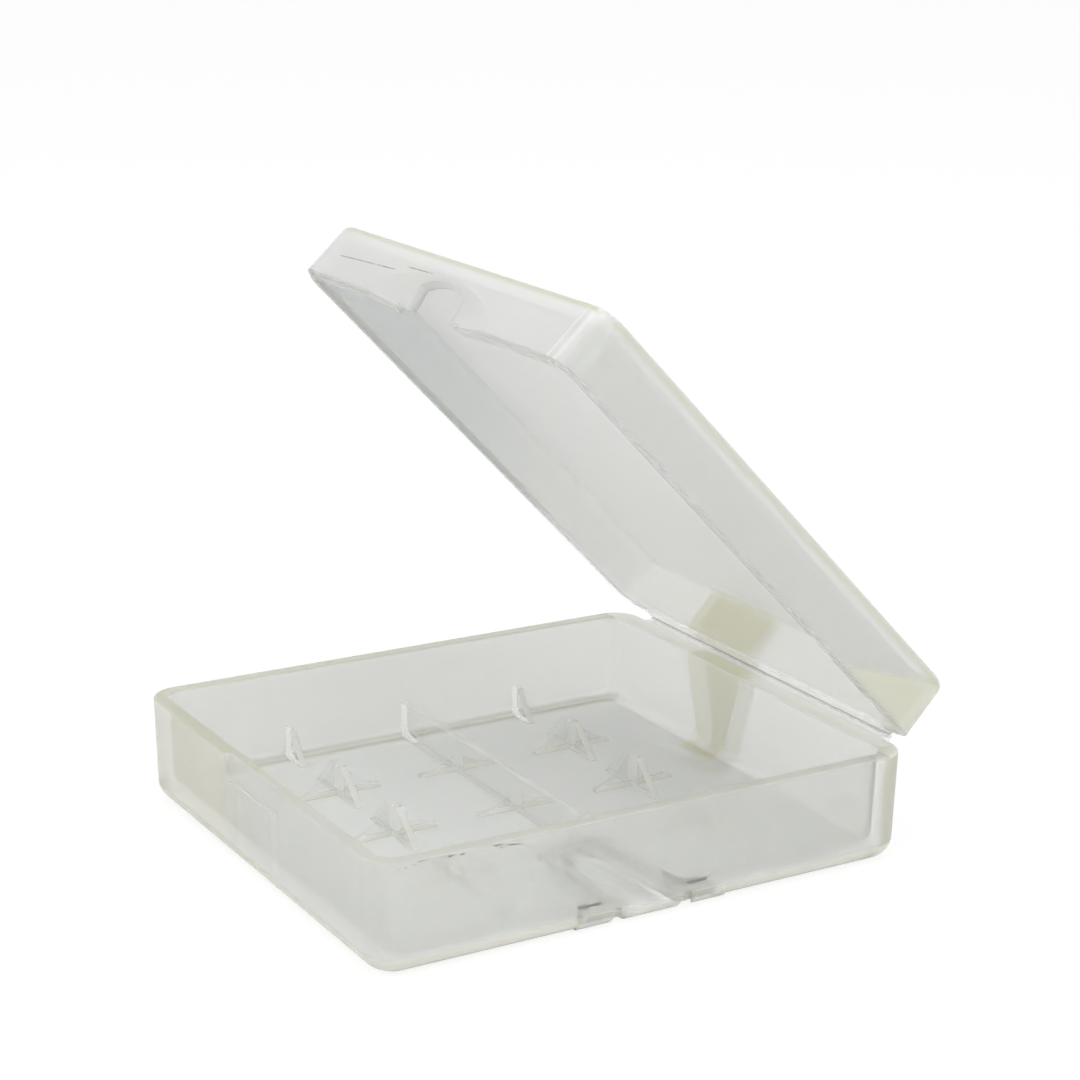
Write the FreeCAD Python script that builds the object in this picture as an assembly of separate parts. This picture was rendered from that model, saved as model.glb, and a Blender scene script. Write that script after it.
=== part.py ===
import FreeCAD, Part
import math
import os

os.makedirs("parts", exist_ok=True)
V = FreeCAD.Vector

# Pocket box for four slim round cells lying side by side, with a clear lid
# joined to it by a moulded hinge and a fold-out hanger under its floor.
# All sizes are millimetres. X runs along the cells, Y across them from the
# front wall (-Y) to the hinge wall (+Y), and Z is up. The box stands on z = 0.

# Overall size
length = 75.0
width = 84.0
base_height = 16.0
lid_height = 9.5
draft_deg = 1.16
corner_radius = 4.5
lid_corner_radius = 4.2

# Walls and floors
wall = 2.2
hinge_wall = 3.15
floor_thickness = 2.5
bottom_edge_radius = 3.2
inner_edge_radius = 1.5
lid_wall = 1.7
lid_top_thickness = 1.6
lid_edge_radius = 1.4
lid_inner_radius = 1.0
rim_rounding = 0.35

# Gap between the two rims when the box is shut, and the step round the lid's rim
rim_gap = 0.08
rim_step_width = 0.75
rim_step_height = 0.35

# Cell spacing, the divider and the ribs
cell_pitch = 19.9
divider_thickness = 1.2
divider_top = 7.8
rib_thickness = 1.0
rib_top = 7.2
fin_top_half = 1.7
fin_foot_half = 6.8
web_half = 6.6
web_end_top = 3.0
web_cradle_radius = 9.4
divider_web_top = 4.8
wall_fin_reach = 1.8
wall_fin_foot = 5.7
root_depth = 0.3

# Hinge
hinge_half_length = 31.0
hinge_overhang = 1.3
hinge_bead_radius = 0.3
hinge_bead_gap = 0.08
flange_clearance = 0.1
flange_thickness = 0.95
lid_open_deg = 45.86

# Thumb pocket in the base's front wall, and the scoop and notch above it in the lid
pocket_half = 8.3
pocket_height = 4.0
pocket_depth = 0.75
panel_half = 8.5
panel_depth = 0.35
panel_ramp = 3.0
scoop_radius = 11.07
scoop_depth = 1.9
scoop_half_length = 17.3
scoop_wall = 1.5
notch_half = 6.0
notch_side_height = 4.2
notch_arch_height = 5.5
notch_step_half = 8.6
notch_step_height = 0.7

# Hanger and its place in the floor
pivot_inset = 2.5
pivot_z = 1.4
pin_radius = 0.8
pin_gap = 0.1
pin_end = 10.4
hanger_thickness = 1.9
hanger_root_half = 6.05
hanger_tip_half = 4.45
hanger_reach = 20.6
hanger_arm = 1.45
hanger_end_bar = 1.7
hanger_tip_radius = 3.0
eye_roundness = 0.95
cutout_gap = 1.0
cutout_wall_gap = 0.15
island_gap = 0.35
flare_radius = 1.9
flare_width = 1.3
window_outer = 6.55
window_top = 2.75
snap_slot = 1.4
side_slot_width = 0.55
side_slot_margin = 0.3
side_slot_rise = 0.8
boss_half = 11.6
boss_edge_radius = 2.5
boss_reach = 5.0

# Dependent positions
half_x = length / 2
half_y = width / 2
slope = math.tan(math.radians(draft_deg))
inner_x = half_x - wall
front_inner = -half_y + wall
rear_inner = half_y - hinge_wall
rim_z = base_height
lid_rim_z = base_height + rim_gap
lid_top_z = base_height + lid_height
hinge_y = half_y + hinge_overhang
pivot_x = half_x - pivot_inset
cross_x = inner_x / 2
beyond = 1.0
near = 1e-3


def block(x0, x1, y0, y1, z0, z1):
    """Plain box between two corners."""
    return Part.makeBox(x1 - x0, y1 - y0, z1 - z0, V(x0, y0, z0))


def face_solid(points, direction):
    """Straight prism on a closed polygon."""
    return Part.Face(Part.makePolygon(points + [points[0]])).extrude(direction)


def tapered(x_half, y0, y1, z_wide, z_narrow):
    """Four-sided block, full size at z_wide and drafted in towards z_narrow."""
    rings = []
    for z in sorted((z_wide, z_narrow)):
        d = slope * abs(z_wide - z)
        xs = x_half - d
        rings.append([V(-xs, y0 + d, z), V(xs, y0 + d, z), V(xs, y1 - d, z), V(-xs, y1 - d, z)])
    lower, upper = rings
    outlines = [lower[::-1], upper]
    for i in range(4):
        j = (i + 1) % 4
        outlines.append([lower[i], lower[j], upper[j], upper[i]])
    faces = [Part.Face(Part.makePolygon(points + [points[0]])) for points in outlines]
    return Part.Solid(Part.Shell(faces))


def upright_edges(shape):
    """Edges that run from one level to another."""
    return [e for e in shape.Edges if e.BoundBox.ZLength > beyond]


def level_edges(shape, z):
    """Edges that lie wholly at one height."""
    found = []
    for e in shape.Edges:
        if abs(e.BoundBox.ZMin - z) < near and abs(e.BoundBox.ZMax - z) < near:
            found.append(e)
    return found


def tub(x_half, y0, y1, z_wide, z_narrow, corner, edge):
    """Drafted block with rounded corners and a rounded edge at its narrow end."""
    body = tapered(x_half, y0, y1, z_wide, z_narrow)
    body = body.makeFillet(corner, upright_edges(body))
    return body.makeFillet(edge, level_edges(body, z_narrow))


def fuse_all(first, others):
    """One clean solid out of several overlapping ones."""
    joined = first.multiFuse(others)
    return joined.removeSplitter()


# Base tray: drafted walls on a flat floor and a local boss that keeps material round
# the hanger's pins
outer = tub(half_x, -half_y, half_y, rim_z, 0.0, corner_radius, bottom_edge_radius)
square_edged = tub(half_x, -half_y, half_y, rim_z, 0.0, corner_radius, boss_edge_radius)
boss_zone = block(inner_x - boss_reach, half_x + beyond, -boss_half, boss_half, -beyond,
                  boss_reach)
outer = outer.fuse(square_edged.common(boss_zone)).removeSplitter()

above = beyond
cavity_corner = corner_radius - wall
cavity = tub(inner_x + slope * above, front_inner - slope * above, rear_inner + slope * above,
             rim_z + above, floor_thickness, cavity_corner, inner_edge_radius)

base = outer.cut(cavity)
base = base.makeFillet(rim_rounding, level_edges(base, rim_z))


# Divider and ribs
def web_profile(top, half_top):
    """Half outline of a web that curves up from its low end to the middle."""
    low = V(0, web_half, web_end_top)
    high = V(0, half_top, top)
    chord = high.sub(low)
    middle = low.add(high).multiply(0.5)
    normal = V(0, chord.z, -chord.y).normalize()
    if normal.z < 0:
        normal = normal.multiply(-1)
    drop = web_cradle_radius - math.sqrt(web_cradle_radius ** 2 - (chord.Length / 2) ** 2)
    return low, middle.sub(V(normal).multiply(drop)), high


def web(x, y, top, half_top):
    """Low web across the cells, hollowed on each side to cradle a cell."""
    z_foot = floor_thickness - root_depth
    low, mid, high = web_profile(top, half_top)
    low_m = V(0, -low.y, low.z)
    mid_m = V(0, -mid.y, mid.z)
    high_m = V(0, -high.y, high.z)
    foot = V(0, web_half, z_foot)
    foot_m = V(0, -web_half, z_foot)
    edges = [
        Part.makeLine(foot_m, foot),
        Part.makeLine(foot, low),
        Part.Arc(low, mid, high).toShape(),
        Part.makeLine(high, high_m),
        Part.Arc(high_m, mid_m, low_m).toShape(),
        Part.makeLine(low_m, foot_m),
    ]
    plate = Part.Face(Part.Wire(edges)).extrude(V(rib_thickness, 0, 0))
    plate.translate(V(x - rib_thickness / 2, y, 0))
    return plate


def fin(x, y):
    """Tapering fin along the cells with a narrow top."""
    z_foot = floor_thickness - root_depth
    side = y - rib_thickness / 2
    points = [
        V(x - fin_foot_half, side, z_foot),
        V(x + fin_foot_half, side, z_foot),
        V(x + fin_foot_half, side, floor_thickness),
        V(x + fin_top_half, side, rib_top),
        V(x - fin_top_half, side, rib_top),
        V(x - fin_foot_half, side, floor_thickness),
    ]
    return face_solid(points, V(0, rib_thickness, 0))


def wall_fin(sign, y):
    """Half fin that leans on an end wall."""
    side = y - rib_thickness / 2
    root = inner_x + wall / 2
    points = [
        V(sign * root, side, floor_thickness - root_depth),
        V(sign * (inner_x - wall_fin_foot), side, floor_thickness - root_depth),
        V(sign * (inner_x - wall_fin_foot), side, floor_thickness),
        V(sign * (inner_x - wall_fin_reach), side, rib_top),
        V(sign * root, side, rib_top),
    ]
    return face_solid(points, V(0, rib_thickness, 0))


divider_half = inner_x + wall / 2
divider = block(-divider_half, divider_half, -divider_thickness / 2, divider_thickness / 2,
                floor_thickness - root_depth, divider_top)
ribs = [divider]
for x in (-cross_x, 0.0, cross_x):
    ribs.append(web(x, 0.0, divider_web_top, divider_thickness / 2))
    for y in (-cell_pitch, cell_pitch):
        ribs.append(web(x, y, rib_top, rib_thickness / 2))
        ribs.append(fin(x, y))
for y in (-cell_pitch, cell_pitch):
    ribs.append(wall_fin(-1, y))
    ribs.append(wall_fin(1, y))
base = fuse_all(base, ribs)

# Thumb pocket with a ledge in the front wall and the shallow panel below it, whose ends
# ramp out to the wall
front = -half_y
ledge_z = rim_z - pocket_height
pocket = block(-pocket_half, pocket_half, front - beyond, front + pocket_depth, ledge_z,
               rim_z + beyond)
panel_foot = front + slope * (rim_z + beyond)
panel_rise = ledge_z + root_depth + beyond
panel = face_solid([V(-panel_half - panel_ramp, panel_foot - panel_depth, -beyond),
                    V(panel_half + panel_ramp, panel_foot - panel_depth, -beyond),
                    V(panel_half - panel_ramp, panel_foot + panel_depth, -beyond),
                    V(-panel_half + panel_ramp, panel_foot + panel_depth, -beyond)],
                   V(0, -slope * panel_rise, panel_rise))
base = base.cut([pocket, panel])

# Hinge flange on the rear wall with the flexing bead along the crease
flange_root = half_y - hinge_wall / 2
flange_top = rim_z - rim_gap / 2
base_flange = block(-hinge_half_length, hinge_half_length, flange_root,
                    hinge_y - flange_clearance,
                    flange_top - flange_thickness, flange_top)
bead = Part.makeCylinder(hinge_bead_radius, 2 * hinge_half_length,
                         V(-hinge_half_length, hinge_y, rim_z), V(1, 0, 0))
base = fuse_all(base, [base_flange, bead])

# Through cut-out round the hanger, its windows in the end wall and the pin channels.
# An island of floor stays inside the hanger's loop and joins the end wall.
tip_x = pivot_x - hanger_reach
eye_tip = tip_x + hanger_end_bar
arm_slope = (hanger_root_half - hanger_tip_half) / hanger_reach
cut_end = tip_x - cutout_gap
cut_near = pivot_x - pin_radius - cutout_wall_gap
cut_tip_half = hanger_tip_half + cutout_gap
cut_root_half = hanger_root_half + cutout_gap
channel_radius = pin_radius + pin_gap
channel_end = pin_end + pin_gap


def eye_half(x):
    """Half width of the opening inside the hanger's loop."""
    return hanger_tip_half + arm_slope * (x - tip_x) - hanger_arm


def eye_prism(inset, z0, z1):
    """Opening inside the hanger's loop, made smaller all round by the inset."""
    tip = eye_tip + inset
    root = pivot_x + beyond
    tip_half = eye_half(tip) - inset
    root_half = eye_half(root) - inset
    body = face_solid([V(tip, -tip_half, z0), V(root, -root_half, z0),
                       V(root, root_half, z0), V(tip, tip_half, z0)], V(0, 0, z1 - z0))
    tip_edges = [e for e in upright_edges(body) if abs(e.CenterOfMass.x - tip) < near]
    return body.makeFillet(tip_half * eye_roundness, tip_edges)


def both_sides(x0, x1, y_in, y_out, z0, z1):
    """The same box on each side of the hanger's middle line."""
    return [block(x0, x1, y_in, y_out, z0, z1), block(x0, x1, -y_out, -y_in, z0, z1)]


def flare(sign):
    """Widening of the cut-out beside the wall, with a rounded corner."""
    side = cut_root_half + flare_radius
    start = cut_near - flare_width - flare_radius
    low = min(sign * (cut_root_half - hanger_arm), sign * side)
    high = max(sign * (cut_root_half - hanger_arm), sign * side)
    room = block(start, cut_near, low, high, -beyond, floor_thickness)
    corner = flare_radius + arm_slope * (cut_near - start)
    post = Part.makeCylinder(corner, floor_thickness + 2 * beyond, V(start, sign * side, -beyond))
    return room.cut(post)


def channel(sign):
    """Round channel that holds one pin."""
    start = V(pivot_x, sign * window_inner, pivot_z)
    return Part.makeCylinder(channel_radius, channel_end - window_inner, start, V(0, sign, 0))


window_inner = eye_half(cut_near) - island_gap
cutout = face_solid([V(cut_end, -cut_tip_half, -beyond), V(cut_near, -cut_root_half, -beyond),
                     V(cut_near, cut_root_half, -beyond), V(cut_end, cut_tip_half, -beyond)],
                    V(0, 0, beyond + floor_thickness))
cutters = [cutout.cut(eye_prism(island_gap, -2 * beyond, floor_thickness + beyond))]
cutters += [flare(-1), flare(1), channel(-1), channel(1)]
cutters += both_sides(cut_near - root_depth, half_x + beyond, window_inner, window_outer,
                      -beyond, window_top)
cutters += both_sides(pivot_x - snap_slot / 2, pivot_x + snap_slot / 2, window_outer,
                      channel_end, -beyond, pivot_z)
slot_x = pivot_x - channel_radius + cutout_wall_gap
cutters += both_sides(slot_x - side_slot_width, slot_x, window_outer + side_slot_margin,
                      channel_end - side_slot_margin, -beyond, floor_thickness + side_slot_rise)
base = base.cut(cutters).removeSplitter()

# Hanger: a flat tapering loop whose legs end in round roots with a pin on each
z_low = pivot_z - hanger_thickness / 2
loop = face_solid([V(tip_x, -hanger_tip_half, z_low), V(pivot_x, -hanger_root_half, z_low),
                   V(pivot_x, hanger_root_half, z_low), V(tip_x, hanger_tip_half, z_low)],
                  V(0, 0, hanger_thickness))
tip_edges = [e for e in upright_edges(loop) if abs(e.CenterOfMass.x - tip_x) < near]
loop = loop.makeFillet(hanger_tip_radius, tip_edges)
loop = loop.cut(eye_prism(0.0, z_low - beyond, z_low + hanger_thickness + beyond))
pin_start = hanger_root_half - hanger_arm
turned = []
for s in (-1, 1):
    root = V(pivot_x, s * pin_start, pivot_z)
    turned.append(Part.makeCylinder(hanger_thickness / 2, hanger_arm, root, V(0, s, 0)))
    turned.append(Part.makeCylinder(pin_radius, pin_end - pin_start, root, V(0, s, 0)))
hanger = fuse_all(loop, turned)

# Lid, drawn shut: drafted shell, scoop and notch in its front wall, stepped rim
lid_outer = tub(half_x, -half_y, half_y, lid_rim_z, lid_top_z, lid_corner_radius,
                lid_edge_radius)
lid_inner_corner = lid_corner_radius - lid_wall
lid_cavity = tub(half_x - lid_wall + slope * above, -half_y + lid_wall - slope * above,
                 half_y - lid_wall + slope * above, lid_rim_z - above,
                 lid_top_z - lid_top_thickness, lid_inner_corner, lid_inner_radius)
lid = lid_outer.cut(lid_cavity)


def barrel(radius):
    """Barrel-shaped body along X whose radius shrinks towards its ends."""
    axis_y = front - (scoop_radius - scoop_depth)
    bow = (scoop_half_length ** 2 + scoop_depth ** 2) / (2 * scoop_depth)
    span = scoop_half_length + 4 * beyond
    sag = bow - math.sqrt(bow ** 2 - span ** 2)
    a = V(-span, axis_y, lid_rim_z)
    b = V(span, axis_y, lid_rim_z)
    c = V(span, axis_y + radius - sag, lid_rim_z)
    d = V(-span, axis_y + radius - sag, lid_rim_z)
    crown = V(0, axis_y + radius, lid_rim_z)
    wire = Part.Wire([
        Part.makeLine(a, b),
        Part.makeLine(b, c),
        Part.Arc(c, crown, d).toShape(),
        Part.makeLine(d, a),
    ])
    return Part.Face(wire).revolve(a, V(1, 0, 0), 360)


backing = barrel(scoop_radius + scoop_wall).common(lid_outer)
scoop = barrel(scoop_radius)
lid = lid.fuse(backing).removeSplitter()

notch_depth = lid_wall + scoop_depth + scoop_wall
notch_corner = lid_rim_z + notch_side_height
notch_arch = lid_rim_z + notch_arch_height
notch_wire = Part.Wire([
    Part.makeLine(V(-notch_half, front - beyond, lid_rim_z - beyond),
                  V(notch_half, front - beyond, lid_rim_z - beyond)),
    Part.makeLine(V(notch_half, front - beyond, lid_rim_z - beyond),
                  V(notch_half, front - beyond, notch_corner)),
    Part.Arc(V(notch_half, front - beyond, notch_corner), V(0, front - beyond, notch_arch),
             V(-notch_half, front - beyond, notch_corner)).toShape(),
    Part.makeLine(V(-notch_half, front - beyond, notch_corner),
                  V(-notch_half, front - beyond, lid_rim_z - beyond)),
])
notch = Part.Face(notch_wire).extrude(V(0, notch_depth + beyond, 0))
notch_step = block(-notch_step_half, notch_step_half, front - beyond, front + notch_depth,
                   lid_rim_z - beyond, lid_rim_z + notch_step_height)
lid = lid.cut([scoop, notch, notch_step])

rim_slab = block(-half_x - beyond, half_x + beyond, -half_y - beyond, half_y + beyond,
                 lid_rim_z - beyond, lid_rim_z + rim_step_height)
rim_keep = tapered(half_x - rim_step_width, -half_y + rim_step_width,
                   half_y - rim_step_width, lid_rim_z - beyond, lid_rim_z + 2 * beyond)
rim_keep = rim_keep.makeFillet(lid_corner_radius - rim_step_width, upright_edges(rim_keep))
lid = lid.cut(rim_slab.cut(rim_keep))

lid_flange = block(-hinge_half_length, hinge_half_length, half_y - lid_wall / 2,
                   hinge_y - flange_clearance / 2, lid_rim_z, lid_rim_z + flange_thickness)
bead_room = Part.makeCylinder(hinge_bead_radius + hinge_bead_gap,
                              2 * (hinge_half_length + beyond),
                              V(-hinge_half_length - beyond, hinge_y, rim_z), V(1, 0, 0))
lid = fuse_all(lid, [lid_flange]).cut(bead_room)
lid.rotate(V(0, hinge_y, rim_z), V(-1, 0, 0), lid_open_deg)

for name, shape in (("base", base), ("lid", lid), ("hanger", hanger)):
    solids = shape.Solids
    if len(solids) != 1 or not shape.isValid():
        raise RuntimeError("%s is not one valid solid: %d" % (name, len(solids)))
    solids[0].exportStep("parts/%s.step" % name)
    box = solids[0].BoundBox
    print(name, round(solids[0].Volume, 1), [round(v, 2) for v in (
        box.XMin, box.XMax, box.YMin, box.YMax, box.ZMin, box.ZMax)])
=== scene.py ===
# %% [markdown]
# A pocket box for round battery cells, moulded in milky see-through polypropylene. The lid stands
# half open on its moulded hinge, and a small hanger lies folded in the floor behind the end wall.
# The frame holds the tray, the lid and the hanger at their real size. This file gives them their
# surfaces, lights them softly and looks at them from the side that shows the open tray.

# %% Setting up
import bpy
import math
from mathutils import Matrix, Vector

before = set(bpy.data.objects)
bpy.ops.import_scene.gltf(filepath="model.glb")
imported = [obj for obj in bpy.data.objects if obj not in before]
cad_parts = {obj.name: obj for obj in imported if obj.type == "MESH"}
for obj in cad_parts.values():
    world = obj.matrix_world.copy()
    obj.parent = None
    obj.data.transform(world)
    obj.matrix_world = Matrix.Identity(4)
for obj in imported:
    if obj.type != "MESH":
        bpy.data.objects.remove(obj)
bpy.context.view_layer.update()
scene = bpy.context.scene
MM = 0.001
print("frame nodes:", sorted(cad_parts))

# %% [markdown]
# The box was photographed from a little above the table with a long lens. A camera can be aimed
# with a look-at constraint, but its own turn about the line of sight is then hard to set. Here it
# is placed from an azimuth, an elevation, a roll and a distance, so each number means one thing.

# %% Camera
AZIMUTH = math.radians(59.247)
ELEVATION = math.radians(16.127)
ROLL = math.radians(-0.704)
DISTANCE = 517.996 * MM
TARGET = Vector((-126.612, 78.766, 0.0)) * MM
LENS_MM = 85.857

back = Vector((math.sin(AZIMUTH) * math.cos(ELEVATION),
               -math.cos(AZIMUTH) * math.cos(ELEVATION),
               math.sin(ELEVATION)))
right = (-back).cross(Vector((0, 0, 1))).normalized()
down = (-back).cross(right).normalized()
side = math.cos(ROLL) * right + math.sin(ROLL) * down
fall = math.cos(ROLL) * down - math.sin(ROLL) * right
turn = Matrix((side, -fall, back)).transposed()
camera = bpy.data.objects.new("camera", bpy.data.cameras.new("camera"))
scene.collection.objects.link(camera)
scene.camera = camera
camera.data.lens = LENS_MM
camera.data.sensor_width = 36.0
camera.data.clip_start = 0.01
camera.matrix_world = Matrix.Translation(TARGET + back * DISTANCE) @ turn.to_4x4()
print("camera at", [round(c, 4) for c in camera.location])

# %% [markdown]
# Shader maths reads best as plain sums. A Value wraps one output socket, and adding or multiplying
# Values adds the Math nodes for them. Every other node comes from one method, which takes the
# node's type, its settings and what goes into its sockets.


# %% Shader sums
class Value:
    """A number that changes over a surface, held by a node's output."""

    def __init__(self, shader, socket):
        self.shader = shader
        self.socket = socket

    def sum(self, operation, other, swapped=False):
        first, second = (other, self) if swapped else (self, other)
        return self.shader.node("ShaderNodeMath", {"operation": operation}, {0: first, 1: second})

    def __add__(self, other):
        return self.sum("ADD", other)

    __radd__ = __add__

    def __sub__(self, other):
        return self.sum("SUBTRACT", other)

    def __rsub__(self, other):
        return self.sum("SUBTRACT", other, swapped=True)

    def __mul__(self, other):
        return self.sum("MULTIPLY", other)

    __rmul__ = __mul__

    def __truediv__(self, other):
        return self.sum("DIVIDE", other)

    def smaller(self, other):
        return self.sum("MINIMUM", other)

    def larger(self, other):
        return self.sum("MAXIMUM", other)

    def size(self):
        return self.shader.node("ShaderNodeMath", {"operation": "ABSOLUTE"}, {0: self})

    def out(self, name):
        return Value(self.shader, self.socket.node.outputs[name])


class Shader:
    """One material or world, with its nodes added by name."""

    def __init__(self, owner):
        owner.use_nodes = True
        self.tree = owner.node_tree
        self.tree.nodes.clear()

    def node(self, kind, settings=None, sockets=None):
        made = self.tree.nodes.new(kind)
        for name, value in (settings or {}).items():
            setattr(made, name, value)
        for name, value in (sockets or {}).items():
            if isinstance(value, Value):
                self.tree.links.new(value.socket, made.inputs[name])
            else:
                made.inputs[name].default_value = value
        return Value(self, made.outputs[0]) if made.outputs else None

    def place(self):
        """Object coordinates in millimetres, one Value for each axis."""
        spot = self.node("ShaderNodeTexCoord").out("Object")
        split = self.node("ShaderNodeSeparateXYZ", {}, {0: spot})
        return [split.out(axis) * (1 / MM) for axis in "XYZ"]

    def spot(self):
        """Object coordinates as a vector, for textures."""
        return self.node("ShaderNodeTexCoord").out("Object")

    def facing(self):
        """How far the surface turns to x and to z."""
        normal = self.node("ShaderNodeTexCoord").out("Normal")
        split = self.node("ShaderNodeSeparateXYZ", {}, {0: normal})
        return split.out("X"), split.out("Z")

    def within(self, value, low, high, soft):
        """1 between low and high, 0 outside, with a soft change at both ends."""
        return self.fade(value, low - soft, low) * (1 - self.fade(value, high, high + soft))

    def fade(self, value, low, high):
        """0 below low and 1 above high, with a soft change between."""
        return self.node("ShaderNodeMapRange", {"interpolation_type": "SMOOTHSTEP"},
                         {"Value": value, "From Min": low, "From Max": high})

    def noise(self, scale, detail=2.0):
        """Cloudy pattern, scale in lumps to the metre."""
        return self.node("ShaderNodeTexNoise", {},
                         {"Vector": self.spot(), "Scale": scale, "Detail": detail})

    def dashes(self, x, y, z):
        """Short broken dashes that run along y."""
        spot = self.node("ShaderNodeCombineXYZ", {}, {0: x * 2.0, 1: y * 0.55, 2: z * 3.0})
        broken = self.node("ShaderNodeTexNoise", {}, {"Vector": spot, "Scale": 1.0, "Detail": 3.0})
        return self.fade(broken.out("Fac"), 0.56, 0.6)

    def blend(self, amount, first, second):
        """From one colour to another."""
        return self.node("ShaderNodeMix", {"data_type": "RGBA"},
                         {"Factor": amount, 6: first, 7: second}).out("Result")


# %% [markdown]
# Polypropylene looks milky because it scatters light all through its thickness. Some light still
# goes straight through, so a wall hides what lies behind it only in part. Volume scatter could do
# all of it, but it is slow and noisy in thin walls. Here each face of a wall lets part of the
# light pass, and the rest goes into subsurface scatter, which carries light through ribs and
# rims as the real plastic does and keeps their edges bright.


# %% Milky plastic
CLOUD_LUMPS = 60.0
GRAIN_LUMPS = 1400.0
GRAIN_DEPTH = 0.1 * MM
SCATTER_DEPTH = 4.0 * MM


def milky(name, base, clear, finish):
    """Translucent moulded plastic. Each coat of the finish has a mask, a colour, and how much
    more it hides than the base does."""
    material = bpy.data.materials.new(name)
    shader = Shader(material)
    tone, hides = base, 1 - clear
    for mask, colour, more in finish(shader):
        tone = shader.blend(mask, tone, colour)
        hides = hides + mask * more
    cloud = shader.noise(CLOUD_LUMPS, 3.0).out("Fac")
    grain = shader.noise(GRAIN_LUMPS, 2.0).out("Fac")
    bump = shader.node("ShaderNodeBump", {}, {"Height": grain, "Strength": 0.08,
                                               "Distance": GRAIN_DEPTH}).out("Normal")
    surface = shader.node("ShaderNodeBsdfPrincipled", {}, {
        "Base Color": tone,
        "Roughness": 0.3 + cloud * 0.12,
        "IOR": 1.49,
        "Alpha": hides.smaller(1.0).larger(0.0),
        "Subsurface Weight": 1.0,
        "Subsurface Radius": (1.0, 1.0, 0.85),
        "Subsurface Scale": SCATTER_DEPTH,
        "Normal": bump,
    })
    shader.node("ShaderNodeOutputMaterial", {}, {"Surface": surface})
    return material


# %% [markdown]
# The tray's colour is a cool grey where it is thin and a warm yellow where it is thick, as all
# natural polypropylene is. The far wall's darker grey is painted shade, the olive foot where floor
# meets wall is painted shade, and the brown line at the lowest edge is a painted contact shadow.
# The tints could be painted on the mesh as vertex colours, but the mesh has only a few long
# triangles on each wall. Masks made from places in millimetres keep sharp borders on any mesh, so
# the walls, the rim and the floor are picked out by their place.

# %% Walls, rim and floor
FLOOR_TOP = 2.5
RIM_TOP = 16.0
WALL_GREY = (0.83, 0.84, 0.80, 1)
FLOOR_GREY = (0.87, 0.89, 0.85, 1)
FAR_SHADE_GREY = (0.76, 0.77, 0.74, 1)
WARM_GREY = (0.88, 0.87, 0.76, 1)
FOOT_SHADE_OLIVE = (0.62, 0.63, 0.55, 1)
CORNER_WARM = (0.64, 0.64, 0.55, 1)
EDGE_YELLOW = (0.94, 0.93, 0.78, 1)
SOLE_SHADOW_BROWN = (0.36, 0.33, 0.26, 1)
NEAR_RIM = (0.60, 0.61, 0.55, 1)
FRONT_RIM = (0.54, 0.54, 0.43, 1)
REAR_RIM = (0.80, 0.80, 0.71, 1)


def wall_coats(shader, x, y, z, turn_z):
    inner = (1 - shader.fade(x.size(), 35.4, 35.8)) * (1 - shader.fade(y.size(), 39.9, 40.3))
    seen_side = shader.fade(x, 33.9, 34.4).larger(1 - shader.fade(y, -39.1, -38.5))
    floor_top = inner * shader.within(z, FLOOR_TOP - 0.02, FLOOR_TOP + 0.02, 0.03)
    underside = (1 - seen_side) * (1 - shader.fade(z, 0.3, 0.6))
    clear_strip = shader.fade(x, 30.0, 32.5).larger(1 - shader.fade(y, -37.0, -34.5))
    # painted shade: the far wall is a darker grey
    far_wall_shade = (1 - shader.fade(x, -35.4, -34.4)) * (1 - shader.fade(y, -10.0, 40.0))
    front_wall = (1 - shader.fade(y, -39.6, -38.6)) * (1 - shader.fade(x, -16.0, 4.0))
    # painted shade along the foot where the floor meets the far wall
    foot_shade = inner * shader.within(z, FLOOR_TOP - 0.02, FLOOR_TOP + 0.5, 0.25)
    foot_shade = foot_shade * (1 - shader.fade(x, -34.0, -31.0))
    corner = shader.fade(x, 33.0, 35.0) * shader.fade(y, 35.8, 38.2)
    bottom = seen_side * (1 - shader.fade(z, 2.2, 2.9))
    # painted contact shadow along the lowest edge
    sole_shadow = shader.fade(x, 34.0, 35.0) * shader.within(z, 0.1, 0.36, 0.1)
    rim = shader.fade(z, RIM_TOP - 0.4, RIM_TOP - 0.25) * shader.fade(turn_z, 0.15, 0.4)
    near_rim = rim * shader.fade(x, 34.6, 35.2).larger(shader.fade(x, 0.0, 14.0))
    rear_rim = rim * shader.fade(y, 38.0, 38.6)
    return [
        (floor_top, FLOOR_GREY, 0.3),
        (underside, FLOOR_GREY, 0.3 - clear_strip * 0.18),
        (far_wall_shade, FAR_SHADE_GREY, 0.06),
        (front_wall, WARM_GREY, 0.15),
        (foot_shade, FOOT_SHADE_OLIVE, 0.2),
        (corner, CORNER_WARM, 0.5),
        (bottom, EDGE_YELLOW, 0.25),
        (sole_shadow, SOLE_SHADOW_BROWN, 0.3),
        (rim, FRONT_RIM, 0.25),
        (near_rim, NEAR_RIM, 0.0),
        (rear_rim, REAR_RIM, 0.0),
    ]


# %% [markdown]
# Thin ribs hide little and show mostly by their edges, so their sides are much clearer than the
# walls. The edges that catch the light in the photo are the slanted ends of the fins on the near
# side, and the low edge of each short cross web, so only those are bright.

# %% Ribs
FIN_BAND = (19.3, 20.5)
DIVIDER_HALF = 0.65
NEAR_SIDES = ((-35.0, -29.0), (-17.3, -10.8), (0.35, 6.9), (18.0, 24.6))
WEB_EDGE = (2.6, 3.35)
RIB_WHITE = (1.0, 1.0, 0.80, 1)


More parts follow.
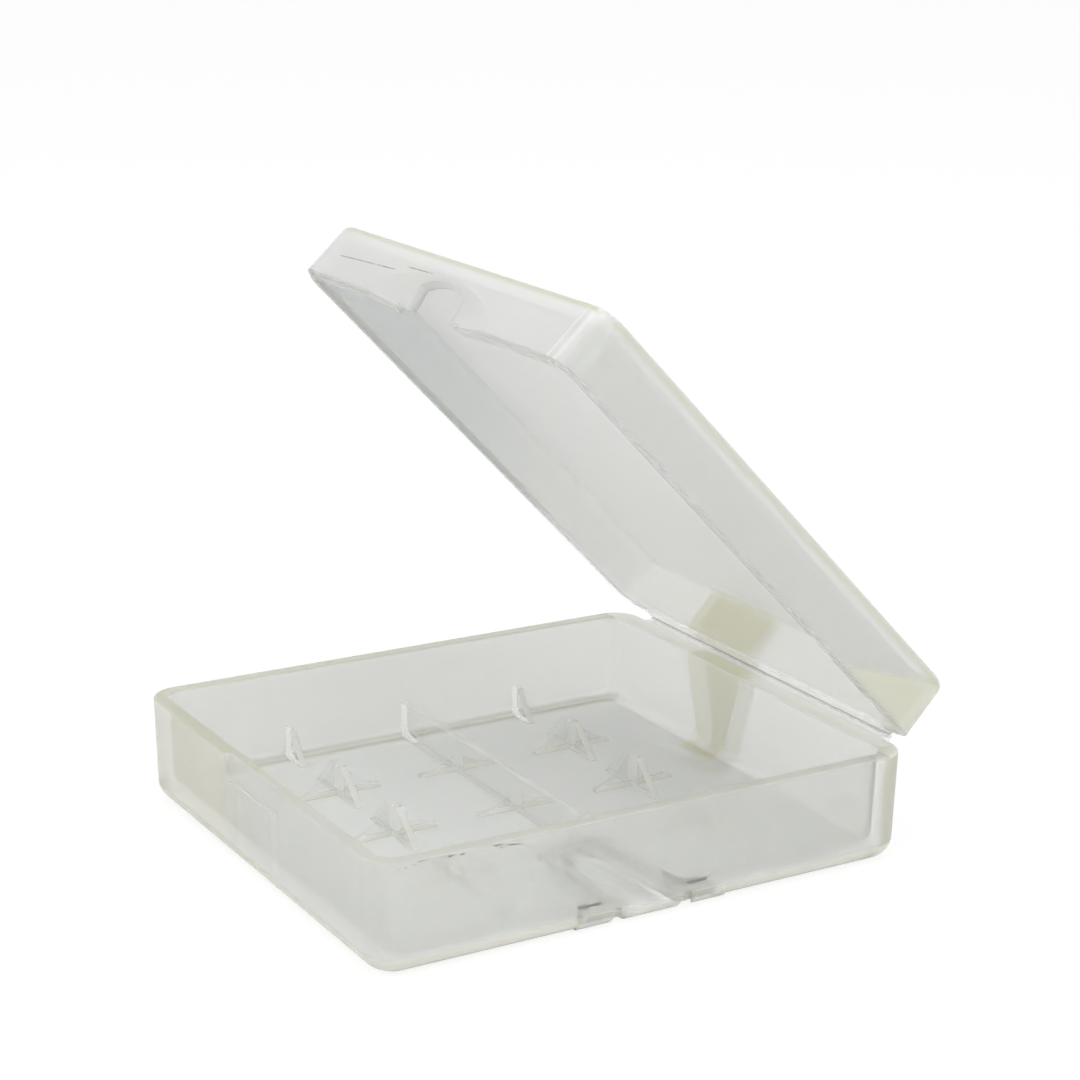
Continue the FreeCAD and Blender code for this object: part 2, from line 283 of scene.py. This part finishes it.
def rib_coats(shader, x, y, z, turn_x, turn_z):
    wide, deep = x.size(), y.size()
    fins = shader.within(deep, *FIN_BAND, 0.05)
    long_ribs = (1 - shader.fade(deep, DIVIDER_HALF, DIVIDER_HALF + 0.05)).larger(fins)
    open_floor = (1 - shader.fade(wide, 33.4, 33.7)) * (1 - shader.fade(deep, 36.9, 37.2))
    ribbed = open_floor.larger(long_ribs * (1 - shader.fade(wide, 34.9, 35.0)))
    rib = ribbed * shader.fade(z, FLOOR_TOP + 0.03, FLOOR_TOP + 0.1)
    near_half = 0.0
    for start, end in NEAR_SIDES:
        near_half = shader.within(x, start, end, 0.05).larger(near_half)
    slanted = shader.within(turn_z.size(), 0.5, 0.8, 0.05) * near_half * fins
    low_edge = shader.within(z, *WEB_EDGE, 0.15) * (1 - long_ribs)
    low_edge = low_edge * shader.fade(turn_x.size(), 0.4, 0.6) * near_half
    divider_top = shader.fade(turn_z.size(), 0.2, 0.5) * shader.fade(z, 7.5, 7.7)
    rib_edge = rib * slanted.larger(low_edge * 0.8).larger(divider_top * 0.35)
    return [
        (rib, RIB_WHITE, -0.3),
        (rib_edge, RIB_WHITE, 0.75),
    ]


# %% [markdown]
# The hanger lies in a cut-out in the floor. The cut-out's sides bend light away from the eye and
# lie in shade, so some look like dark lines and the rest look clear. Real refraction would need
# glass-like walls and many more samples. A dark tone of painted shade or a clear tone on each side
# is quick and stays where it belongs when the hanger swings out. The pin slots get the same dark
# painted shade.

# %% Cut-out and slots
CUTOUT_X = (13.0, 33.2)
CUTOUT_HALF = 9.6
PIN_X = (33.2, 36.2)
PIN_Y = (6.7, 10.7)
LIGHT_GREY = (0.90, 0.91, 0.86, 1)
GAP_SHADE = (0.18, 0.20, 0.21, 1)
SLOT_SHADE = (0.03, 0.035, 0.035, 1)


def cutout_coats(shader, x, y, z, turn_z):
    deep = y.size()
    upright = 1 - shader.fade(turn_z.size(), 0.2, 0.5)
    under = (1 - shader.fade(z, FLOOR_TOP - 0.08, FLOOR_TOP - 0.02)) * upright
    cut_side = shader.within(x, *CUTOUT_X, 0.1) * under
    cut_side = cut_side * (1 - shader.fade(deep, CUTOUT_HALF, CUTOUT_HALF + 0.2))
    opening = shader.fade(x, PIN_X[0], PIN_X[0] + 0.2) * under
    opening = opening * (1 - shader.fade(deep, PIN_Y[1] + 0.1, PIN_Y[1] + 0.2))
    island_tip = cut_side * shader.within(x, 16.2, 17.3, 0.1) * shader.within(y, -3.2, 0.5, 0.3)
    flare_side = cut_side * shader.fade(x, 28.0, 28.6) * shader.fade(y, 5.2, 5.6)
    leg_side = cut_side * shader.within(x, 17.5, 31.0, 1.0) * (1 - shader.fade(y, -5.4, -5.2))
    # painted shade in the narrow gaps round the hanger
    gap_shade = island_tip.larger(flare_side).larger(leg_side)
    # painted shade in the pin slots
    slots = shader.within(x, *PIN_X, 0.05) * shader.within(deep, *PIN_Y, 0.1)
    slots = slots * shader.within(z, FLOOR_TOP - 0.25, FLOOR_TOP + 0.25, 0.05) * upright
    return [
        (cut_side, LIGHT_GREY, -0.25),
        (opening, LIGHT_GREY, -0.2),
        (gap_shade, GAP_SHADE, 0.65),
        (slots, SLOT_SHADE, 0.75),
    ]


# %% [markdown]
# A used box has marks: the near wall is scuffed under its rim, in short dark dashes. A yellow
# patch is laid down the rear wall and over into the lid. The hinge's flange is clear and painted a
# lighter grey, painted light that keeps it free of shade, and the crease where it bends gets a dark
# painted shade. Noise stretched along the rim breaks the scuff into dashes.

# %% Marks, painted crease shade and painted flange light
PATCH_SHARE = 0.85
PATCH_VEIL = 0.15 / PATCH_SHARE
PATCH_YELLOW = (0.70, 0.69, 0.50, 1)
FLANGE_LIT_GREY = (0.93, 0.94, 0.90, 1)
CREASE_SHADE = (0.28, 0.29, 0.26, 1)
SCUFF_DARK = (0.22, 0.22, 0.18, 1)


def mark_light_and_shade_coats(shader, x, y, z):
    patch_half = 4.0 + shader.fade(z, 3.0, RIM_TOP) * 3.2
    patch = 1 - shader.fade(((x + 7.0) / patch_half).size(), 0.9, 1.05)
    patch = patch * shader.fade(y, 34.0, 36.0)
    # painted light: the flange is painted lighter so it carries no shade
    flange_lit = shader.fade(y, 42.05, 42.1) * shader.fade(z, 14.9, 15.0)
    # painted shade in the hinge's crease
    crease_shade = shader.fade(y, 43.0, 43.05) * shader.fade(z, 16.1, 16.25)
    scuff = shader.fade(x, 36.9, 37.1) * shader.within(z, 15.1, 15.7, 0.1)
    scuff = scuff * shader.within(y, -38.0, -22.0, 3.0) * shader.dashes(x, y, z)
    return [
        (patch * PATCH_SHARE, PATCH_YELLOW, PATCH_VEIL),
        (flange_lit, FLANGE_LIT_GREY, -0.15),
        (crease_shade, CREASE_SHADE, 0.3),
        (scuff, SCUFF_DARK, 0.5),
    ]


# %% Tray finish
def tray_finish(shader):
    x, y, z = shader.place()
    turn_x, turn_z = shader.facing()
    coats = wall_coats(shader, x, y, z, turn_z) + mark_light_and_shade_coats(shader, x, y, z)
    coats += rib_coats(shader, x, y, z, turn_x, turn_z)
    return coats + cutout_coats(shader, x, y, z, turn_z)


# %% [markdown]
# The lid stands open, and its mesh is in that place. Its finish is easier to lay out on the shut
# lid, so the coordinates are first turned back about the hinge's crease. Then the front wall is
# at one y, the top plate at one height, and each gets its own tone.

# %% Places on the shut lid
LID_OPEN = math.radians(45.86)
CREASE_Y = 43.3
CREASE_Z = 16.0


def shut(shader):
    """Coordinates on the shut lid, in millimetres."""
    x, y, z = shader.place()
    dy = y - CREASE_Y
    dz = z - CREASE_Z
    return (x, dy * math.cos(LID_OPEN) - dz * math.sin(LID_OPEN) + CREASE_Y,
            dy * math.sin(LID_OPEN) + dz * math.cos(LID_OPEN) + CREASE_Z)


# %% [markdown]
# Two thin dark slits show high on the lid's front wall, where light is lost in a fold of the
# plastic. Each is a straight line between two places, and a little noise makes it uneven.

# %% Slits
SLITS = (((-29.1, 20.1), (-13.5, 20.8)), ((-10.9, 21.8), (-3.9, 22.0)))
SLIT_LUMPS = 900.0
SLIT_DARK = (0.12, 0.13, 0.13, 1)


def slit(shader, x, z, start, end):
    """Thin line on the front wall between two spots, each an x and a height."""
    rise = (end[1] - start[1]) / (end[0] - start[0])
    off_line = (z - ((x - start[0]) * rise + start[1])).size()
    return shader.within(x, start[0], end[0], 0.3) * (1 - shader.fade(off_line, 0.03, 0.14))


def slit_coat(shader, x, y, z):
    first, second = [slit(shader, x, z, start, end) for start, end in SLITS]
    uneven = shader.noise(SLIT_LUMPS, 1.0).out("Fac") * 1.4
    lines = first.larger(second) * (1 - shader.fade(y, -40.0, -39.5)) * uneven
    return lines, SLIT_DARK, 0.2


# %% [markdown]
# The lid's plate is the darkest part, its front wall the lightest, and its outer edges are warm.
# The plate's far strip gets painted shade, its near strip painted light, and the rear wall a
# painted highlight. Two painted highlight lines mark the rounded corner beside the front wall, and
# the end by the hinge is yellow. The coats run from the broad tones to the narrow lines, so the
# lines stay on top.

# %% Lid finish
PLATE_GREY = (0.75, 0.755, 0.735, 1)
FAR_STRIP_SHADE = (0.62, 0.64, 0.65, 1)
NEAR_STRIP_LIT = (0.78, 0.80, 0.79, 1)
FRONT_WHITE = (0.92, 0.925, 0.88, 1)
HIGHLIGHT_WHITE = (1.0, 1.0, 0.98, 1)
SIDE_GREY = (0.80, 0.81, 0.775, 1)
LOW_YELLOW = (0.89, 0.89, 0.73, 1)
REAR_HIGHLIGHT = (0.88, 0.88, 0.82, 1)
LID_EDGE = (0.62, 0.63, 0.52, 1)
LID_RIM = (0.88, 0.89, 0.85, 1)
FAR_RIM = (0.64, 0.66, 0.64, 1)


def lid_finish(shader):
    x, y, z = shut(shader)
    plate = shader.fade(z, 23.2, 24.0) * (1 - shader.fade(x.size(), 34.5, 35.5))
    # painted light on the plate's near strip
    near_strip_lit = plate * shader.fade(x, 22.0, 30.0)
    front = (1 - shader.fade(y, -40.4, -38.5)) * (1 - shader.fade(x, 35.2, 36.6))
    # painted shade on the plate's far strip
    far_strip_shade = (1 - shader.fade(x, -35.3, -34.8)) * (1 - front) * (1 - shader.fade(y, -20.0, 30.0))
    near_side = shader.fade(x, 36.3, 37.0) * shader.fade(z, 23.2, 24.6)
    front_edge = (1 - shader.fade(y, -41.5, -40.8)) * shader.fade(z, 23.6, 24.8)
    edge = near_side.larger(front_edge)
    low_end = shader.fade(x, 34.6, 35.8) * shader.fade(y - (z - 16.5) * 1.9, 22.5, 24.0)
    low_end = low_end.larger(shader.fade(x, 28.0, 31.0) * shader.fade(y, 39.5, 41.0))
    crease = shader.fade(y, 42.05, 42.1) * (1 - shader.fade(z, 17.1, 17.2))
    rim = (1 - shader.fade(z, 16.42, 16.5)).larger(crease)
    # two painted highlight lines at the rounded corner
    corner_highlight = shader.within(x, 33.3, 33.5, 0.3).larger(shader.within(x, 34.6, 34.9, 0.35)) * front
    patch = shader.within(x, -18.0, -2.5, 1.5) * shader.fade(y, 37.0, 40.5)
    patch = patch * (1 - shader.fade(z, 22.5, 25.3))
    far_rim = (1 - shader.fade(x, -35.2, -34.6)) * (1 - shader.fade(z, 16.9, 17.4))
    far_rim = far_rim * (1 - shader.fade(y, 0.0, 30.0))
    # painted highlight on the lid's rear wall
    rear_highlight = shader.fade(y, 38.8, 40.2) * (1 - shader.fade(z, 23.0, 24.0)) * (1 - rim)
    return [
        (plate, PLATE_GREY, 0.0),
        (near_strip_lit, NEAR_STRIP_LIT, 0.0),
        (far_strip_shade, FAR_STRIP_SHADE, 0.0),
        (rear_highlight, REAR_HIGHLIGHT, 0.0),
        (low_end, LOW_YELLOW, 0.25),
        (front, FRONT_WHITE, 0.25),
        (corner_highlight, HIGHLIGHT_WHITE, 0.2),
        (edge, LID_EDGE, 0.2),
        (rim, LID_RIM, -0.15),
        (far_rim, FAR_RIM, 0.35),
        (patch * PATCH_SHARE, PATCH_YELLOW, PATCH_VEIL),
        slit_coat(shader, x, y, z),
    ]


# %% [markdown]
# The hanger is thin, flat and pale. The dark lines round it belong to its cut-out, so it stays
# pale when it swings out. Its pins sit in their channels and look a little yellow.

# %% Hanger finish
def hanger_finish(shader):
    x, _, _ = shader.place()
    return [(shader.fade(x, 33.0, 35.0), EDGE_YELLOW, 0.3)]


# %% Dressing the three nodes
def dress(node, material):
    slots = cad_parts[node].data.materials
    slots.clear()
    slots.append(material)


dress("base", milky("tray plastic", WALL_GREY, 0.64, tray_finish))
dress("lid", milky("lid plastic", SIDE_GREY, 0.56, lid_finish))
dress("hanger", milky("hanger plastic", WALL_GREY, 0.55, hanger_finish))
for node in ("base", "lid", "hanger"):
    print(node, "wears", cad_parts[node].data.materials[0].name)

# %% [markdown]
# The box stands on a white sweep. The floor has to read as plain white and still keep a soft
# shadow, so where it is seen it is part white paint, which darkens in shadow, and part glow,
# which doesn't. To everything else it is plain pale paint that returns light to the box.

# %% Floor
FLOOR_SIZE = 6.0
FLOOR_DROP = 0.02 * MM
FLOOR_GLOW = 0.85
SEEN_WHITE = (0.2, 0.2, 0.2, 1)
PALE_PAINT = (0.8, 0.8, 0.8, 1)
WHITE = (1, 1, 1, 1)


def seen_directly(shader):
    """1 for a ray that looks at the surface, 0 for one that gathers light from it."""
    ray = shader.node("ShaderNodeLightPath")
    looks = ray.out("Is Camera Ray").larger(ray.out("Is Glossy Ray"))
    return looks.larger(ray.out("Is Transmission Ray"))


bpy.ops.object.select_all(action="DESELECT")
bpy.ops.mesh.primitive_plane_add(size=FLOOR_SIZE, location=(0, 0, -FLOOR_DROP))
floor = bpy.context.object
floor.name = "floor"
floor_material = bpy.data.materials.new("white floor")
floor_shader = Shader(floor_material)
seen = seen_directly(floor_shader)
paint = floor_shader.node("ShaderNodeBsdfDiffuse", {}, {
    "Color": floor_shader.blend(seen, PALE_PAINT, SEEN_WHITE)})
glow = floor_shader.node("ShaderNodeEmission", {}, {"Color": WHITE,
                                                    "Strength": seen * FLOOR_GLOW})
both = floor_shader.node("ShaderNodeAddShader", {}, {0: paint, 1: glow})
floor_shader.node("ShaderNodeOutputMaterial", {}, {"Surface": both})
floor.data.materials.append(floor_material)
print("floor is", FLOOR_SIZE, "m wide")

# %% [markdown]
# A plastic this pale needs soft light from all round, with a little more from above so that the
# lid's inside stays a shade darker than its rim. The world gives the even part, and is plain
# white wherever it is seen directly. A second, smaller softbox from the hinge's side keeps the
# near wall from going flat.

# %% Light
SKY_LIGHT = 0.62
BOX_MIDDLE = Vector((0, 0, 0.03))

world = bpy.data.worlds.new("studio")
scene.world = world
sky = Shader(world)
backdrop = sky.node("ShaderNodeBackground", {}, {
    "Color": WHITE, "Strength": SKY_LIGHT + seen_directly(sky) * (1 - SKY_LIGHT)})
sky.node("ShaderNodeOutputWorld", {}, {"Surface": backdrop})


def softbox(name, place, size, watts):
    """Square lamp that faces the middle of the box."""
    lamp = bpy.data.lights.new(name, "AREA")
    lamp.shape = "SQUARE"
    lamp.size = size
    lamp.energy = watts
    holder = bpy.data.objects.new(name, lamp)
    holder.location = place
    aim = BOX_MIDDLE - Vector(place)
    holder.rotation_euler = aim.to_track_quat("-Z", "Y").to_euler()
    scene.collection.objects.link(holder)


softbox("top softbox", (0.1, -0.2, 0.9), 0.7, 2.4)
softbox("side softbox", (0.8, 0.3, 0.5), 0.5, 1.2)
scene.view_settings.view_transform = "Standard"
